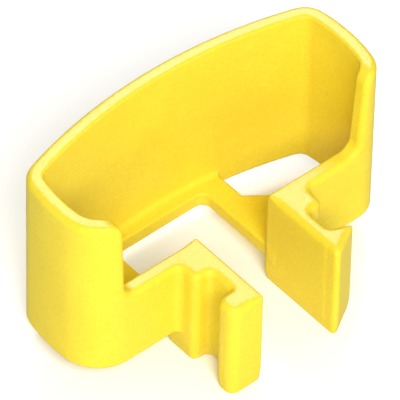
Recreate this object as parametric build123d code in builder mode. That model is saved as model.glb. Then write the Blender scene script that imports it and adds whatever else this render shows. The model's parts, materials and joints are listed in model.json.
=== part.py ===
from build123d import *
import os
from math import radians, tan

os.makedirs("parts", exist_ok=True)

# A one-piece moulded snap clip, in millimetres, as it stands on its jaws.
# +X is to the right, +Y points away from the jaws to the arched back wall, +Z is up.
# The origin is the middle of the bounding box's bottom face.
# "Out" along Y means in front of or behind the front walls' inner face, where front_y is.

# The bow, a D-shaped ring of constant wall.
wall = 0.6
bow_width = 13.86         # across the bulging side walls
bow_reach = 4.76          # from the front walls' inner face to the back wall's apex
left_back_x = -6.63       # the four corners, before rounding
right_back_x = 6.72
left_front_x = -6.63
right_front_x = 6.53
back_corner_drop = 1.13   # how far the back corners lie in front of the apex
side_bulge_out = 1.3      # where the side walls are widest
left_back_r = 1.1
right_back_r = 1.05
left_front_r = 1.7
right_front_r = 1.1
edge_r = 0.14             # moulded round on long edges

# Heights above the underside of the jaws.
bow_bottom = 1.03
jaw_height = 4.41         # jaws and front walls are level at the top
rim_height = 8.17
floor_thickness = 0.6

# The wide notch above the front walls.
notch_left = 5.55         # from the middle to its ends, at the rim
notch_right = 5.76
left_draft = 2.5          # degrees
right_draft = 4
notch_corner_r = 0.5

# The two jaws: a thick root, a thin tongue and a catch.
jaw_x = 0.083             # the pair stands this far right of the bow's middle
jaw_gap = 3.32
root_width = 1.33
root_reach = 1.46
root_corner_r = 0.2
root_fillet_r = 0.3
tongue = 0.62
left_catch_width = 1.41
left_catch_back = 2.59
left_catch_reach = 3.6
left_catch_r = 0.42
left_tip_r = 0.12
right_catch_width = 1.475 # this and right_lead_in run to sharp corners, before rounding
right_catch_back = 2.57
right_lead_in = 3.79
right_catch_reach = 3.634
barb_drop = 0.32          # how far the barb lies in front of the catch face's foot
barb_r = 0.13
right_tip_r = 0.2
bevel_height = 0.6        # lower part of each catch leans in by bevel_depth
bevel_depth = 0.06
catch_rim_r = 0.1
hinge_clearance = 0.025

# The floor inside the bow.
ledge_out = 3.56          # front edge of the ledge along the back wall
strap_width = 0.93
left_strap_x = -2.66      # the straps' inner edges, from the jaws' middle
right_strap_x = 1.75
web_out = 2.55            # how far back the corner web reaches along the right strap
web_angle = 37.5          # degrees, between the web's free edge and the front wall
slot_corner_r = 0.4

# Worked out from the driving dimensions.
front_y = (right_catch_reach - bow_reach) / 2   # puts the origin midway from front to back
back_y = front_y + bow_reach
half_gap = jaw_gap / 2
hinge_x = half_gap + tongue / 2
hinge_y = front_y - root_reach
left_strap_outer = jaw_x + left_strap_x - strap_width
right_strap_outer = jaw_x + right_strap_x + strap_width
far = 20                  # longer than the clip in any direction


def export(piece, name):
    """Label one finished piece and write its STEP file."""
    piece.label = name
    export_step(piece, f"parts/{name}.step")


# ---------------------------------------------------------------- plan of the bow
back_left = (left_back_x, back_y - back_corner_drop)
back_right = (right_back_x, back_y - back_corner_drop)
front_left = (left_front_x, front_y - wall)
front_right = (right_front_x, front_y - wall)
bulge_y = front_y + side_bulge_out

with BuildSketch() as bow_outline:
    with BuildLine():
        ThreePointArc(back_left, (0, back_y), back_right)
        ThreePointArc(back_right, (bow_width / 2, bulge_y), front_right)
        Line(front_right, front_left)
        ThreePointArc(front_left, (-bow_width / 2, bulge_y), back_left)
    make_face()
    for corner, radius in (
        (back_left, left_back_r), (back_right, right_back_r),
        (front_left, left_front_r), (front_right, right_front_r),
    ):
        fillet(vertices().sort_by_distance((corner[0], corner[1], 0))[0], radius=radius)

with BuildSketch() as bow_inside:
    add(bow_outline.sketch)
    offset(amount=-wall)

# ---------------------------------------------------------------- the fixed frame
notch_height = rim_height - jaw_height
left_foot = notch_left - notch_height * tan(radians(left_draft))
right_foot = notch_right - notch_height * tan(radians(right_draft))

with BuildPart() as frame:
    with BuildSketch(Plane.XY.offset(bow_bottom)):
        add(bow_outline.sketch)
        add(bow_inside.sketch, mode=Mode.SUBTRACT)
    extrude(amount=rim_height - bow_bottom)

    # The notch, with a round where each wall end meets the rim and the front wall.
    with BuildSketch(Plane.XZ.offset(-front_y - wall)):
        with BuildLine():
            Polyline(
                (-left_foot, jaw_height), (right_foot, jaw_height), (notch_right, rim_height),
                (far, rim_height), (far, far), (-far, far), (-far, rim_height),
                (-notch_left, rim_height), close=True,
            )
        make_face()
        inner_corners = vertices().filter_by(lambda v: abs(v.X) < far - 1)
        fillet(inner_corners, radius=notch_corner_r)
    extrude(amount=far, mode=Mode.SUBTRACT)

    # The gap between the jaws.
    with BuildSketch():
        with Locations((jaw_x, front_y - wall / 2)):
            Rectangle(jaw_gap, 2 * wall)
    extrude(amount=rim_height, mode=Mode.SUBTRACT)

    # The jaw roots.
    with BuildSketch():
        for side in (-1, 1):
            with Locations((jaw_x + side * (half_gap + root_width / 2), front_y - root_reach / 2)):
                Rectangle(root_width, root_reach)
        fillet(vertices().group_by(Axis.Y)[0].sort_by(Axis.X)[0::3], radius=root_corner_r)
    extrude(amount=jaw_height)

    # Rounds: where the roots meet the front walls, then round every top face and the roots' feet.
    root_flanks = edges().filter_by(Axis.Z).filter_by(
        lambda e: abs(e.center().Y - (front_y - wall)) < edge_r
        and abs(abs(e.center().X - jaw_x) - half_gap - root_width) < edge_r
    )
    fillet(root_flanks, radius=root_fillet_r)
    upper_or_foot = edges().filter_by(lambda e: not edge_r < e.center().Z < jaw_height - edge_r)
    fillet(upper_or_foot, radius=edge_r)

# Half-round seats in the roots for the tongues to flex in.
with BuildPart() as seats:
    with Locations((jaw_x - hinge_x, hinge_y), (jaw_x + hinge_x, hinge_y)):
        Cylinder(
            tongue / 2 + hinge_clearance, jaw_height, rotation=(0, 0, -90),
            align=(Align.CENTER, Align.CENTER, Align.MIN),
        )

# ---------------------------------------------------------------- frame pieces
corner_x = 5.0            # corners meet the back and front walls here
front_corner_back = front_y + 0.9           # and the side walls here
back_corner_front = front_y + 2.7
flank_x = half_gap + root_width + 1.5 * root_fillet_r

# Each piece stands over one rectangle of the plan: its lowest and highest X, then Y.
frame_pieces = {
    "back_wall": (-corner_x, corner_x, back_corner_front, far),
    "left_back_corner": (-far, -corner_x, back_corner_front, far),
    "right_back_corner": (corner_x, far, back_corner_front, far),
    "left_side_wall": (-far, -corner_x, front_corner_back, back_corner_front),
    "right_side_wall": (corner_x, far, front_corner_back, back_corner_front),
    "left_front_corner": (-far, -corner_x, -far, front_corner_back),
    "right_front_corner": (corner_x, far, -far, front_corner_back),
    "left_front_wall": (-corner_x, jaw_x - flank_x, -far, front_corner_back),
    "right_front_wall": (jaw_x + flank_x, corner_x, -far, front_corner_back),
    "left_jaw_root": (jaw_x - flank_x, jaw_x, -far, front_corner_back),
    "right_jaw_root": (jaw_x, jaw_x + flank_x, -far, front_corner_back),
}

# ---------------------------------------------------------------- floor
slot_back = front_y + ledge_out
web_x = right_strap_outer + web_out / tan(radians(web_angle))

with BuildPart() as floor:
    with BuildSketch(Plane.XY.offset(bow_bottom)):
        with BuildLine():
            Polyline(
                (left_strap_outer, front_y), (jaw_x + left_strap_x, front_y),
                (jaw_x + left_strap_x, slot_back), (jaw_x + right_strap_x, slot_back),
                (jaw_x + right_strap_x, front_y), (web_x, front_y),
                (right_strap_outer, front_y + web_out), (right_strap_outer, back_y),
                (left_strap_outer, back_y), close=True,
            )
        make_face()
        slot_corners = vertices().filter_by(lambda v: abs(v.Y - slot_back) < edge_r)
        fillet(slot_corners, radius=slot_corner_r)
        add(bow_inside.sketch, mode=Mode.INTERSECT)
    extrude(amount=floor_thickness)

strap_back = slot_back - slot_corner_r
floor_pieces = {
    "back_ledge": (-far, far, strap_back, far),
    "left_floor_strap": (-far, jaw_x, -far, strap_back),
    "right_floor_strap": (jaw_x, right_strap_outer, -far, strap_back),
    "right_floor_web": (right_strap_outer, far, -far, strap_back),
}

for source, pieces in ((frame, frame_pieces), (floor, floor_pieces)):
    for name, (x_low, x_high, y_low, y_high) in pieces.items():
        with BuildPart() as piece:
            add(source.part)
            with BuildSketch():
                with Locations(((x_low + x_high) / 2, (y_low + y_high) / 2)):
                    Rectangle(x_high - x_low, y_high - y_low)
            extrude(amount=rim_height, mode=Mode.INTERSECT)
            add(seats.part, mode=Mode.SUBTRACT)
        export(piece.part, name)

# ---------------------------------------------------------------- tongues
for side, name, catch_back in (
    (-1, "left_tongue", left_catch_back), (1, "right_tongue", right_catch_back)
):
    with BuildPart() as tongue_piece:
        with BuildSketch():
            with Locations((jaw_x + side * hinge_x, hinge_y)):
                Circle(tongue / 2)
            with Locations((jaw_x + side * hinge_x, front_y - (root_reach + catch_back) / 2)):
                Rectangle(tongue, catch_back - root_reach)
        extrude(amount=jaw_height)
        catch_line = front_y - catch_back
        rim_edges = faces().sort_by(Axis.Z)[-1].edges().filter_by(
            lambda e: e.center().Y > catch_line + edge_r / 4
        )
        fillet(rim_edges, radius=edge_r)
    export(tongue_piece.part, name)


# ---------------------------------------------------------------- catches
def free_edges(face, back_line):
    """The edges of a catch's top or bottom face, leaving out the one on the tongue."""
    return face.edges().filter_by(lambda e: e.center().Y < back_line - edge_r / 4)


def lean_in(back_line):
    """Bevel the lower part of the catch in hand, all round its free sides."""
    foot = faces().sort_by(Axis.Z)[0]
    chamfer(free_edges(foot, back_line), length=bevel_depth, length2=bevel_height, reference=foot)


# The left catch is a squared block with large rounds.
left_inner = jaw_x - half_gap
left_outer = left_inner - left_catch_width
left_back_line = front_y - left_catch_back
with BuildPart() as left_catch:
    with BuildSketch():
        with BuildLine():
            Polyline(
                (left_inner, left_back_line), (left_outer, left_back_line),
                (left_outer, front_y - left_catch_reach), (left_inner, front_y - left_catch_reach),
                close=True,
            )
        make_face()
        outer_corners = vertices().group_by(Axis.X)[0]
        tip_corner = vertices().group_by(Axis.X)[-1].sort_by(Axis.Y)[0]
        fillet(outer_corners, radius=left_catch_r)
        fillet(tip_corner, radius=left_tip_r)
    extrude(amount=jaw_height)
    lean_in(left_back_line)
    fillet(free_edges(faces().sort_by(Axis.Z)[-1], left_back_line), radius=catch_rim_r)
export(left_catch.part, "left_catch_block")

# The right catch is a wedge, with a hooked back face and a sloping lead-in.
right_inner = jaw_x + half_gap
right_back_line = front_y - right_catch_back
barb_corner = (right_inner + right_catch_width, right_back_line - barb_drop)
lead_in_corner = (right_inner, front_y - right_lead_in)
with BuildPart() as right_catch:
    with BuildSketch():
        with BuildLine():
            Polyline(
                (right_inner, right_back_line), (right_inner + tongue, right_back_line),
                barb_corner, lead_in_corner, close=True,
            )
        make_face()
        fillet(vertices().group_by(Axis.X)[-1], radius=barb_r)
        fillet(vertices().group_by(Axis.Y)[0], radius=right_tip_r)
    extrude(amount=jaw_height)
    lean_in(right_back_line)
    fillet(free_edges(faces().sort_by(Axis.Z)[-1], right_back_line), radius=catch_rim_r)
export(right_catch.part, "right_catch_wedge")
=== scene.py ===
import json
from math import cos, hypot, radians, sin, tan

import bmesh
import bpy
import numpy as np
from mathutils import Matrix, Vector


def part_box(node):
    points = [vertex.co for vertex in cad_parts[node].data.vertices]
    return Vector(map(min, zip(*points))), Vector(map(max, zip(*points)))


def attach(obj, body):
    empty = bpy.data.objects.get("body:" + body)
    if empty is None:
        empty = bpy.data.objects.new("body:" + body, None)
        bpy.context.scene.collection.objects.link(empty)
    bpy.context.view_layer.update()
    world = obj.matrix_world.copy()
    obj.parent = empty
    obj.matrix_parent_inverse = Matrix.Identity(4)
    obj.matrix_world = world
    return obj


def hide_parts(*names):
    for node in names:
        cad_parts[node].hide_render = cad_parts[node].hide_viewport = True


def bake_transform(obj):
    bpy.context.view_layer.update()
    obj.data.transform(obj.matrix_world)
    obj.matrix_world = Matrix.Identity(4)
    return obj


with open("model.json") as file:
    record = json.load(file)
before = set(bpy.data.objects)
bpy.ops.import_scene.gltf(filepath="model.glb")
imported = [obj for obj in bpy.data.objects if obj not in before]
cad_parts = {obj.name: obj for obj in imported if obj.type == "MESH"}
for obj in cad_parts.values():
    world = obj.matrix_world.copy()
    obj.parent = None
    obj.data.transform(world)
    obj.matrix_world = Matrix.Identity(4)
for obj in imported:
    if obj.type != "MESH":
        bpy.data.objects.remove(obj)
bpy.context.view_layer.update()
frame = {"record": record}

# The clip is one moulding, so its skin is made as one surface, from a distance field in
# millimetres, and then parted into the fixed frame and the two jaws that flex.
MM = 0.001

# ---------------------------------------------------------------- sizes, from the frame


def low(node):
    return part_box(node)[0] / MM


def high(node):
    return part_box(node)[1] / MM


BOW_BOTTOM = low("back_wall").z
RIM = high("back_wall").z
BACK = high("back_wall").y
FRONT = high("right_front_wall").y
WALL = FRONT - low("right_front_wall").y
JAW_TOP = high("left_tongue").z
JAW_X = (high("left_tongue").x + low("right_tongue").x) / 2
HALF_GAP = low("right_tongue").x - JAW_X
TONGUE = high("right_tongue").x - low("right_tongue").x
ROOT_FRONT = low("right_jaw_root").y
FLOOR_TOP = high("back_ledge").z

# Shapes that a box doesn't give, in millimetres. LEFT and RIGHT are -X and +X.
HALF_WIDTH = 6.93         # across the side walls' bulge
LEFT_BACK_HALF = 6.63
RIGHT_BACK_HALF = 6.72
BACK_DROP = 1.13
LEFT_FRONT_HALF = 6.63
RIGHT_FRONT_HALF = 6.53
BULGE_OUT = 1.3
LEFT_BACK_R = 1.1
RIGHT_BACK_R = 1.05
LEFT_FRONT_R = 1.7
RIGHT_FRONT_R = 1.1
LEFT_NOTCH = 5.46
RIGHT_NOTCH = 5.76
NOTCH_R = 0.5
LEFT_DRAFT = radians(2)
RIGHT_DRAFT = radians(4)
ROOT_WIDTH = 1.33
SLOT_R = 0.35
LEDGE_OUT = 3.56
WEB_ANGLE = radians(37.5)
ROOT_FILLET_R = 0.3
ROOT_CORNER_R = 0.3
TONGUE_FILLET_R = 0.25
LEFT_CATCH_R = 0.42
CATCH_FILLET_R = 0.12
BARB_R = 0.13
RIGHT_TIP_R = 0.3
RIGHT_LEAD_IN = 3.82      # how far the wedge's corners lie in front of FRONT, before rounding
RIGHT_BACK = 2.57
LEAD_IN_ANGLE = radians(31.4)
BARB_ANGLE = radians(20.5)
BAND_HEIGHT = 0.6         # the lowest part of each catch leans in by BAND_DEPTH
BAND_DEPTH = 0.06
SOFT_R = 0.26             # top edges on the clip's outer side
CRISP_R = 0.07            # edges of the openings and of the underside
FLOOR_FILLET_R = 0.2
TONGUE_END = 0.5          # how far each tongue runs on into its catch


# ---------------------------------------------------------------- the distance field
def cut(a, b, r):
    """What is in both a and b, with a round of radius r where their faces meet."""
    return np.minimum(-r, np.maximum(a, b)) + np.hypot(np.maximum(a + r, 0), np.maximum(b + r, 0))


def join(a, b, r):
    """What is in a or b, with a fillet of radius r where their faces meet."""
    return np.maximum(r, np.minimum(a, b)) - np.hypot(np.maximum(r - a, 0), np.maximum(r - b, 0))


def span(v, lowest, highest):
    return np.maximum(lowest - v, v - highest)


def circle_through(a, b, c):
    """Centre and radius of the circle through three points."""
    (ax, ay), (bx, by), (cx, cy) = a, b, c
    d = 2 * (ax * (by - cy) + bx * (cy - ay) + cx * (ay - by))
    a2, b2, c2 = ax * ax + ay * ay, bx * bx + by * by, cx * cx + cy * cy
    x = (a2 * (by - cy) + b2 * (cy - ay) + c2 * (ay - by)) / d
    y = (a2 * (cx - bx) + b2 * (ax - cx) + c2 * (bx - ax)) / d
    return (x, y), hypot(ax - x, ay - y)


def meeting(c1, r1, c2, r2, near):
    """The crossing of two circles that lies nearer to a point."""
    dx, dy = c2[0] - c1[0], c2[1] - c1[1]
    d = hypot(dx, dy)
    along = (r1 * r1 - r2 * r2 + d * d) / (2 * d)
    off = (r1 * r1 - along * along) ** 0.5
    mid = (c1[0] + along * dx / d, c1[1] + along * dy / d)
    both = [(mid[0] - s * off * dy / d, mid[1] + s * off * dx / d) for s in (-1, 1)]
    return min(both, key=lambda p: hypot(p[0] - near[0], p[1] - near[1]))


def unit(a, b):
    d = hypot(b[0] - a[0], b[1] - a[1])
    return ((b[0] - a[0]) / d, (b[1] - a[1]) / d)


back_left = (-LEFT_BACK_HALF, BACK - BACK_DROP)
back_right = (RIGHT_BACK_HALF, BACK - BACK_DROP)
BACK_ARC = circle_through(back_left, (0, BACK), back_right)
SIDE_ARCS = {
    -1: circle_through(back_left, (-HALF_WIDTH, FRONT + BULGE_OUT), (-LEFT_FRONT_HALF, FRONT - WALL)),
    1: circle_through(back_right, (HALF_WIDTH, FRONT + BULGE_OUT), (RIGHT_FRONT_HALF, FRONT - WALL)),
}


def rounded_corner(side, corner, back_r, front_r):
    """Centre, radius and end normals of the two corner arcs at one side of the bow."""
    flank, flank_r = SIDE_ARCS[side]
    c = meeting(BACK_ARC[0], BACK_ARC[1] - back_r, flank, flank_r - back_r, corner)
    arcs = [(c, back_r, unit(BACK_ARC[0], c), unit(flank, c))]
    c_y = FRONT - WALL + front_r
    reach = ((flank_r - front_r) ** 2 - (c_y - flank[1]) ** 2) ** 0.5
    c = (flank[0] + side * reach, c_y)
    return arcs + [(c, front_r, (0, -1), unit(flank, c))]


CORNERS = (
    rounded_corner(-1, back_left, LEFT_BACK_R, LEFT_FRONT_R)
    + rounded_corner(1, back_right, RIGHT_BACK_R, RIGHT_FRONT_R)
)


def bow_outline(x, y):
    """Distance from the bow's outer face, in plan."""
    d = FRONT - WALL - y
    for half, ((cx, cy), r) in ((0, BACK_ARC), *SIDE_ARCS.items()):
        d = np.where(half * x < 0, d, np.maximum(d, np.hypot(x - cx, y - cy) - r))
    for (cx, cy), r, (ax, ay), (bx, by) in CORNERS:
        u, v = x - cx, y - cy
        det = ax * by - ay * bx
        inside = ((u * by - v * bx) / det > 0) & ((v * ax - u * ay) / det > 0)
        d = np.where(inside, np.hypot(u, v) - r, d)
    return d


def left_catch(t, y):
    """The left catch in plan, a block with large rounds; t is the distance out from the jaws' middle."""
    outer = JAW_X - low("left_catch_block").x
    return cut(t - outer, span(y, low("left_catch_block").y, high("left_catch_block").y), LEFT_CATCH_R)


def right_catch(t, y):
    """The right catch in plan, a wedge with a hooked back face."""
    lead = (FRONT - RIGHT_LEAD_IN + (t - HALF_GAP) * tan(LEAD_IN_ANGLE) - y) * cos(LEAD_IN_ANGLE)
    back = (y - FRONT + RIGHT_BACK + (t - HALF_GAP - TONGUE) * tan(BARB_ANGLE)) * cos(BARB_ANGLE)
    return cut(cut(lead, back, BARB_R), HALF_GAP - t, RIGHT_TIP_R)


def jaw(t, y, back, catch):
    """One jaw in plan, from a line in the front wall to its catch, and open towards the gap."""
    root = np.maximum(cut(t - HALF_GAP - ROOT_WIDTH, ROOT_FRONT - y, ROOT_CORNER_R), y - back)
    tongue_front = FRONT - RIGHT_BACK - TONGUE_END
    tongue = np.maximum(t - HALF_GAP - TONGUE, span(y, tongue_front, back))
    return join(join(root, tongue, TONGUE_FILLET_R), catch(t, y), CATCH_FILLET_R)


def both_jaws(x, y, back):
    out = x - JAW_X
    return np.where(out < 0, jaw(-out, y, back, left_catch), jaw(out, y, back, right_catch))


def floor_plan(x, y, outer):
    """The ledge, straps and corner web, whose outer edges end inside the walls."""
    left_edge, right_edge = low("left_floor_strap").x, high("right_floor_strap").x
    slot = cut(
        span(x, high("left_floor_strap").x, low("right_floor_strap").x),
        y - FRONT - LEDGE_OUT, SLOT_R,
    )
    web = ((y - high("right_floor_web").y) + (x - right_edge) * tan(WEB_ANGLE)) * cos(WEB_ANGLE)
    straps = np.maximum(span(x, left_edge, right_edge), -slot)
    web = np.maximum(web, right_edge - WALL / 2 - x)
    return np.maximum(np.minimum(straps, web), outer + WALL / 2)


def field(x, y, z):
    """Distance from the clip's surface, in millimetres, negative inside."""
    outer = bow_outline(x, y)
    ring = np.maximum(outer, -outer - WALL)
    beyond_gap = np.abs(x - JAW_X) - HALF_GAP
    gap = -np.maximum(beyond_gap, y - FRONT - WALL / 2)

    # Top edges are soft on the bow's outer face and on the jaws, and crisp inside the bow.
    wall_r = SOFT_R + (CRISP_R - SOFT_R) * np.clip(-outer / WALL, 0, 1)
    gap_r = np.where(x < JAW_X, CRISP_R, SOFT_R)
    jaw_r = gap_r + (SOFT_R - gap_r) * np.clip(beyond_gap / WALL, 0, 1)

    # The bow, up to its rim, with the wide notch in its front.
    draft = np.where(x < 0, tan(LEFT_DRAFT), tan(RIGHT_DRAFT))
    notch = np.where(x < 0, LEFT_NOTCH, RIGHT_NOTCH)
    wall_end = notch - (RIM - z) * draft - np.abs(x)
    profile = join(z - JAW_TOP, cut(wall_end, z - RIM, NOTCH_R), NOTCH_R)
    profile = np.where(y < FRONT + WALL, profile, z - RIM)
    bow = cut(cut(ring, gap, CRISP_R), profile, wall_r)

    # The front wall and the jaws above its underside, level at the top.
    top_r = np.where(y > FRONT - WALL, np.minimum(wall_r, jaw_r), jaw_r)
    joined = join(ring, both_jaws(x, y, FRONT - WALL + CRISP_R), ROOT_FILLET_R)
    front = cut(cut(joined, gap, CRISP_R), z - JAW_TOP, top_r)
    bow = np.minimum(bow, front)

    floor = cut(floor_plan(x, y, outer), z - FLOOR_TOP, CRISP_R / 2)
    bow = cut(join(bow, floor, FLOOR_FILLET_R), BOW_BOTTOM - z, CRISP_R)

    # The jaws again, over their whole height.
    band = BAND_DEPTH * np.clip(1 - z / BAND_HEIGHT, 0, 1)
    legs = cut(both_jaws(x, y, FRONT), gap, CRISP_R) + band
    legs = cut(cut(legs, z - JAW_TOP, jaw_r), -z, CRISP_R)
    return np.minimum(bow, legs)


# ---------------------------------------------------------------- from field to surface
GRID = 0.06               # spacing where the surface turns
STRETCH = 0.3             # widest spacing along Z, on straight walls
NEAR_TURN = 0.25          # levels stay GRID apart this far from each turn
SLOPE_STEP = 0.001        # half the distance over which the field's slope is taken


def heights():
    """Grid levels along Z: close together near every edge, wide apart between them."""
    turns = (0, 1, BOW_BOTTOM, FLOOR_TOP, JAW_TOP, JAW_TOP + NOTCH_R, RIM - NOTCH_R, RIM)
    levels = [-3 * GRID]
    while levels[-1] < RIM + 2 * GRID:
        clear = min(abs(levels[-1] - turn) for turn in turns) - NEAR_TURN
        levels.append(levels[-1] + min(max(GRID, GRID + clear / 3), STRETCH))
    return np.array(levels)


def crossings(solid, axis):
    """The grid edges along one axis that cross the surface: their lower ends, and if each is solid."""
    lower, upper = [slice(None)] * 3, [slice(None)] * 3
    lower[axis], upper[axis] = slice(0, -1), slice(1, None)
    lower, upper = solid[tuple(lower)], solid[tuple(upper)]
    ends = np.nonzero(lower != upper)
    return list(ends), lower[ends]


def cell_beside(ends, axes, steps):
    """The grid cell beside each crossed edge, a step down or none along each of two axes."""
    cell = list(ends)
    for axis, step in zip(axes, steps):
        cell[axis] = cell[axis] - step
    return tuple(cell)


def surface(xs, ys, zs):
    """Vertices and quads of the field's zero surface, one vertex to each grid cell it crosses."""
    d = field(xs[:, None, None], ys[None, :, None], zs[None, None, :]).astype(np.float64)
    solid = d < 0
    cells = tuple(n - 1 for n in d.shape)
    total = np.zeros((*cells, 3))
    count = np.zeros(cells)
    grid = (xs, ys, zs)
    for axis in range(3):
        ends, _ = crossings(solid, axis)
        beyond = list(ends)
        beyond[axis] = ends[axis] + 1
        da, db = d[tuple(ends)], d[tuple(beyond)]
        point = np.stack([grid[n][ends[n]] for n in range(3)], 1).astype(float)
        point[:, axis] += da / (da - db) * (grid[axis][beyond[axis]] - grid[axis][ends[axis]])
        others = [n for n in range(3) if n != axis]
        for steps in ((0, 0), (0, 1), (1, 0), (1, 1)):
            cell = cell_beside(ends, others, steps)
            np.add.at(total, cell, point)
            np.add.at(count, cell, 1)
    number = np.full(cells, -1)
    used = count > 0
    number[used] = np.arange(used.sum())
    verts = total[used] / count[used][:, None]
    quads = []
    for axis in range(3):
        ends, leaving = crossings(solid, axis)
        others = [(axis + 1) % 3, (axis + 2) % 3]
        ring = [number[cell_beside(ends, others, steps)] for steps in ((0, 0), (1, 0), (1, 1), (0, 1))]
        quad = np.stack(ring, 1)
        quad[~leaving] = quad[~leaving][:, ::-1]
        quads.append(quad)
    return verts, np.concatenate(quads)


def settle(verts, rounds=3):
    """Move each vertex on to the exact surface, along the field's slope."""
    h = SLOPE_STEP
    for _ in range(rounds):
        x, y, z = verts.T
        slope = np.stack([
            field(x + h, y, z) - field(x - h, y, z),
            field(x, y + h, z) - field(x, y - h, z),
            field(x, y, z + h) - field(x, y, z - h),
        ], 1) / (2 * h)
        steep = np.maximum((slope ** 2).sum(1), 0.25)
        move = slope * (field(x, y, z) / steep)[:, None]
        far = np.maximum(np.linalg.norm(move, axis=1) / (0.5 * GRID), 1)
        verts = verts - move / far[:, None]
    return verts


def make_skin():
    xs = np.arange(-HALF_WIDTH - 2 * GRID, HALF_WIDTH + 3 * GRID, GRID)
    y_low = min(low("left_catch_block").y, low("right_catch_wedge").y)
    ys = np.arange(y_low - 2 * GRID, BACK + 3 * GRID, GRID)
    verts, quads = surface(xs, ys, heights())
    verts = settle(verts) * MM
    mesh = bpy.data.meshes.new("clip_skin")
    mesh.from_pydata(verts.tolist(), [], quads.tolist())
    mesh.validate()
    return mesh


PART_Y = ROOT_FRONT + 0.4   # the jaws' skins part from the frame's here, inside the straight roots


def part_of(skin, name, keep_front, side=0):
    """A closed piece of the skin: in front of or behind PART_Y, and on one side of the jaws' middle."""
    bm = bmesh.new()
    bm.from_mesh(skin)
    bmesh.ops.bisect_plane(
        bm, geom=bm.verts[:] + bm.edges[:] + bm.faces[:], dist=1e-7,
        plane_co=(0, PART_Y * MM, 0), plane_no=(0, 1, 0),
        clear_outer=keep_front, clear_inner=not keep_front,
    )
    if side:
        stray = [v for v in bm.verts if (v.co.x - JAW_X * MM) * side < 0]
        bmesh.ops.delete(bm, geom=stray, context="VERTS")
    rim = [e for e in bm.edges if e.is_boundary]
    caps = bmesh.ops.holes_fill(bm, edges=rim, sides=0)["faces"]
    for face in bm.faces:
        face.smooth = True
    for face in caps:
        face.smooth = False
        for edge in face.edges:
            edge.smooth = False
    mesh = bpy.data.meshes.new(name)
    bm.to_mesh(mesh)
    bm.free()
    piece = bpy.data.objects.new(name, mesh)
    bpy.context.scene.collection.objects.link(piece)
    return piece


# ---------------------------------------------------------------- material
DEEP_YELLOW = (0.77, 0.585, 0.030, 1)
PALE_YELLOW = (0.87, 0.69, 0.046, 1)
CLOUD_SCALE = 450         # cells to the metre: soft patches about 2 mm across
GRAIN_SCALE = 8000        # and the moulded grain
MIX_A, MIX_B, MIXED = 6, 7, 2   # a colour Mix node's own sockets, which share names with others


def yellow_plastic():
    material = bpy.data.materials.new("yellow_plastic")
    material.use_nodes = True
    nodes, links = material.node_tree.nodes, material.node_tree.links
    shader = nodes["Principled BSDF"]
    shader.inputs["IOR"].default_value = 1.48
    shader.inputs["Specular IOR Level"].default_value = 0.15
    place = nodes.new("ShaderNodeTexCoord")

    def noise(scale, detail, rough=0.5):
        n = nodes.new("ShaderNodeTexNoise")
        n.inputs["Scale"].default_value = scale
        n.inputs["Detail"].default_value = detail
        n.inputs["Roughness"].default_value = rough
        links.new(place.outputs["Object"], n.inputs["Vector"])
        return n

    def between(source, lowest, highest, a, b):
        n = nodes.new("ShaderNodeMapRange")
        n.inputs["From Min"].default_value = lowest
        n.inputs["From Max"].default_value = highest
        n.inputs["To Min"].default_value = a
        n.inputs["To Max"].default_value = b
        links.new(source, n.inputs["Value"])
        return n.outputs["Result"]

    cloud = between(noise(CLOUD_SCALE, 3).outputs["Fac"], 0.35, 0.65, 0, 0.35)
    grain = noise(GRAIN_SCALE, 3, 0.65).outputs["Fac"]
    shade = nodes.new("ShaderNodeMath")
    links.new(between(grain, 0.3, 0.7, 0, 0.65), shade.inputs[0])
    links.new(cloud, shade.inputs[1])
    mix = nodes.new("ShaderNodeMix")
    mix.data_type = "RGBA"
    mix.inputs[MIX_A].default_value = DEEP_YELLOW
    mix.inputs[MIX_B].default_value = PALE_YELLOW
    links.new(shade.outputs["Value"], mix.inputs[0])
    links.new(mix.outputs[MIXED], shader.inputs["Base Color"])
    links.new(between(grain, 0.3, 0.7, 0.29, 0.38), shader.inputs["Roughness"])
    bump = nodes.new("ShaderNodeBump")
    bump.inputs["Strength"].default_value = 0.8
    bump.inputs["Distance"].default_value = 0.00002
    links.new(grain, bump.inputs["Height"])
    links.new(bump.outputs["Normal"], shader.inputs["Normal"])
    return material


# ---------------------------------------------------------------- build the clip
plastic = yellow_plastic()
skin = make_skin()

FRAME_NODES = frame["record"]["behaviour"]["bodies"]["frame"]
frame_skin = part_of(skin, "bow_and_roots", keep_front=False)
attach(frame_skin, "frame")
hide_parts(*FRAME_NODES)

JAWS = (
    ("left", -1, "left_tongue", "left_catch_block"),
    ("right", 1, "right_tongue", "right_catch_wedge"),
)
pieces = [frame_skin]
for name, side, tongue, catch in JAWS:
    jaw = part_of(skin, name + "_jaw", keep_front=True, side=side)
    pieces.append(jaw)
    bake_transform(jaw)
    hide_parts(tongue, catch)
bpy.data.meshes.remove(skin)
for piece in pieces:
    piece.data.materials.append(plastic)

# ---------------------------------------------------------------- floor
bpy.ops.mesh.primitive_plane_add(size=2)
floor_plane = bpy.context.object
floor_plane.name = "floor"
floor_plane.visible_glossy = False   # no white mirror image in the side walls
paper = bpy.data.materials.new("floor_paper")
paper.use_nodes = True
paper_shader = paper.node_tree.nodes["Principled BSDF"]
paper_shader.inputs["Base Color"].default_value = (0.95, 0.95, 0.95, 1)
paper_shader.inputs["Roughness"].default_value = 0.5
floor_plane.data.materials.append(paper)

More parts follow.
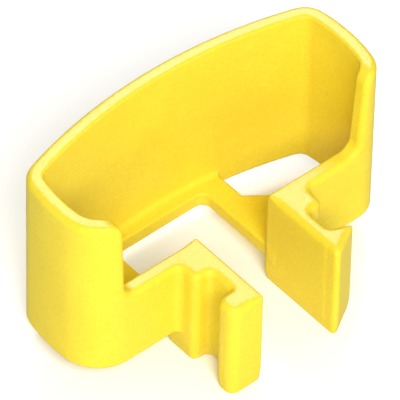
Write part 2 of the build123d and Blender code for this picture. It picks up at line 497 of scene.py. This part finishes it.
# ---------------------------------------------------------------- light
world = bpy.data.worlds.new("studio")
bpy.context.scene.world = world
world.use_nodes = True
backdrop = world.node_tree.nodes["Background"]
backdrop.inputs["Color"].default_value = (1, 1, 1, 1)
backdrop.inputs["Strength"].default_value = 0.42


def softbox(name, place, size, power):
    light = bpy.data.lights.new(name, "AREA")
    light.shape = "DISK"
    light.size = size
    light.energy = power
    lamp = bpy.data.objects.new(name, light)
    lamp.location = place
    lamp.rotation_euler = (-Vector(place)).to_track_quat("-Z", "Y").to_euler()
    bpy.context.scene.collection.objects.link(lamp)
    return lamp


softbox("key", place=(-0.056, -0.100, 0.107), size=0.08, power=0.258)
# The sheen only glosses the level tops, and the fill only lights the sides turned from the camera.
sheen = softbox("sheen", place=(0.072, 0.082, 0.117), size=0.045, power=0.28)
sheen.visible_diffuse = False
fill = softbox("fill", place=(0.09, 0.12, 0.045), size=0.08, power=0.10)
fill.visible_glossy = False

# ---------------------------------------------------------------- camera
TURN = radians(-41.48)
RISE = radians(46.64)
ROLL = radians(1.363)
LENS = 634
SENSOR = 36
PICTURE = 14.19 * MM      # how much the picture takes in from side to side
AIM_RIGHT = -1.182 * MM   # from the middle of the jaws' top edge at the front wall
AIM_UP = 0.559 * MM

right = Vector((cos(TURN), sin(TURN), 0))
up = Vector((-sin(TURN) * sin(RISE), cos(TURN) * sin(RISE), cos(RISE)))
toward = Vector((sin(TURN) * cos(RISE), -cos(TURN) * cos(RISE), sin(RISE)))
aim = Vector((JAW_X, FRONT, JAW_TOP)) * MM + AIM_RIGHT * right + AIM_UP * up
cam_x = right * cos(ROLL) + up * sin(ROLL)
cam_y = up * cos(ROLL) - right * sin(ROLL)
camera_data = bpy.data.cameras.new("camera")
camera_data.lens = LENS
camera_data.sensor_width = SENSOR
camera_data.clip_start = 0.01
camera = bpy.data.objects.new("camera", camera_data)
turned = Matrix((cam_x, cam_y, toward)).transposed().to_4x4()
camera.matrix_world = Matrix.Translation(aim + toward * PICTURE * LENS / SENSOR) @ turned
bpy.context.scene.collection.objects.link(camera)
bpy.context.scene.camera = camera

bpy.context.scene.view_settings.view_transform = "Standard"
